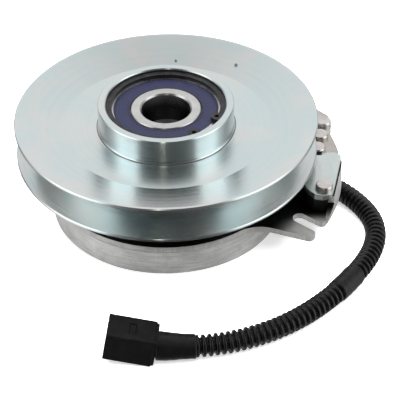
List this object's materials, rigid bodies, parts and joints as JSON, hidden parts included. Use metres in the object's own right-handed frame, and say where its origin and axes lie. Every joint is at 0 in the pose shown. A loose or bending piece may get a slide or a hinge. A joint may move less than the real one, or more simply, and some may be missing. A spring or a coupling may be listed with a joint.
{
  "type": "electromagnetic clutch",
  "caption": "Electromagnetic clutch and brake: belt pulley on a sealed bearing, round field coil housing, slotted anti-rotation ear, magnet brake and a corrugated lead with connector.",
  "frame": {"origin": "centre of the shaft bore on the bottom face of the rotor hub and field shell", "axes": "+Z along the shaft bore, from the field shell up to the pulley; +X towards the ear with the brake; the lead runs round to -Y"},
  "size_m": [0.1907, 0.2054, 0.0636],
  "materials": {
    "zinc_pulley": "bright zinc plate over a turned surface",
    "zinc_strap": "bright zinc plate",
    "zinc_plate": "dull zinc plate, warm grey",
    "rivet_steel": "bare rivet steel",
    "forged_steel": "rough grey forging, machined edge",
    "black_plate": "black coating with bare sheared edges",
    "black_magnet": "smooth black",
    "bearing_steel": "ground",
    "ball_steel": "polished",
    "cage_steel": "pressed",
    "seal_rubber": "satin blue-violet",
    "black_seal": "matte",
    "spring_steel": "dark phosphate",
    "rotor_steel": "turned",
    "lining": "friction lining",
    "copper_wire": "enamelled",
    "bobbin_plastic": "moulded nylon",
    "potting": "epoxy",
    "loom_plastic": "corrugated polyethylene",
    "tape_vinyl": "wrapped vinyl tape",
    "connector_plastic": "moulded nylon",
    "terminal_metal": "tinned brass"
  },
  "bodies": {
    "field": {"field_shell": "forged_steel", "coil_bobbin": "bobbin_plastic", "coil_winding": "copper_wire", "coil_potting": "potting", "coil_leads": "black_seal", "torque_plate": "black_plate", "field_bearing_outer": "bearing_steel", "field_bearing_seals": "black_seal", "field_bearing_clip": "spring_steel", "brake_magnet_front": "black_magnet", "brake_backing_front": "zinc_strap", "brake_strap_front": "zinc_strap", "brake_rivets_front": "rivet_steel", "brake_spacer_rear": "black_magnet", "brake_plate_rear": "zinc_plate", "brake_rivets_rear": "rivet_steel", "lead_grommet": "black_seal", "loom": "loom_plastic", "tape_band": "tape_vinyl", "tape_end": "tape_vinyl", "connector_housing": "connector_plastic", "connector_terminals": "terminal_metal", "connector_lock": "connector_plastic"},
    "rotor": {"rotor": "rotor_steel", "friction_ring": "lining", "bearing_spacer": "rotor_steel", "field_bearing_inner": "bearing_steel", "pulley_bearing_inner": "bearing_steel"},
    "pulley": {"pulley": "zinc_pulley", "pulley_bearing_outer": "bearing_steel", "pulley_seal_upper": "seal_rubber", "pulley_seal_lower": "seal_rubber", "snap_ring": "spring_steel", "leaf_springs": "spring_steel", "spring_rivets": "rivet_steel"},
    "armature": {"armature": "rotor_steel", "armature_rivets": "rivet_steel"},
    "pulley_bearing_set": {"pulley_bearing_balls": "ball_steel", "pulley_bearing_cage": "cage_steel"},
    "field_bearing_set": {"field_bearing_balls": "ball_steel", "field_bearing_cage": "cage_steel"}
  },
  "joints": [
    {"name": "rotor_spin", "type": "hinge", "parent": "field", "child": "rotor", "pos_m": [0, 0, 0], "axis": [0, 0, 1], "continuous": true},
    {"name": "pulley_spin", "type": "hinge", "parent": "rotor", "child": "pulley", "pos_m": [0, 0, 0.05185], "axis": [0, 0, 1], "continuous": true},
    {"name": "armature_slide", "type": "slide", "parent": "pulley", "child": "armature", "axis": [0, 0, -1], "range_m": [0, 0.0004], "stiffness_N_per_m": 20000, "springref_m": -0.001, "deforming": ["leaf_springs"]},
    {"name": "pulley_bearing_roll", "type": "hinge", "parent": "rotor", "child": "pulley_bearing_set", "pos_m": [0, 0, 0.05185], "axis": [0, 0, 1], "continuous": true},
    {"name": "field_bearing_roll", "type": "hinge", "parent": "field", "child": "field_bearing_set", "pos_m": [0, 0, 0.0072], "axis": [0, 0, 1], "continuous": true}
  ],
  "couplings": [
    {"joint": "pulley_bearing_roll", "follows": "pulley_spin", "ratio": 0.6035},
    {"joint": "field_bearing_roll", "follows": "rotor_spin", "ratio": 0.4339}
  ]
}
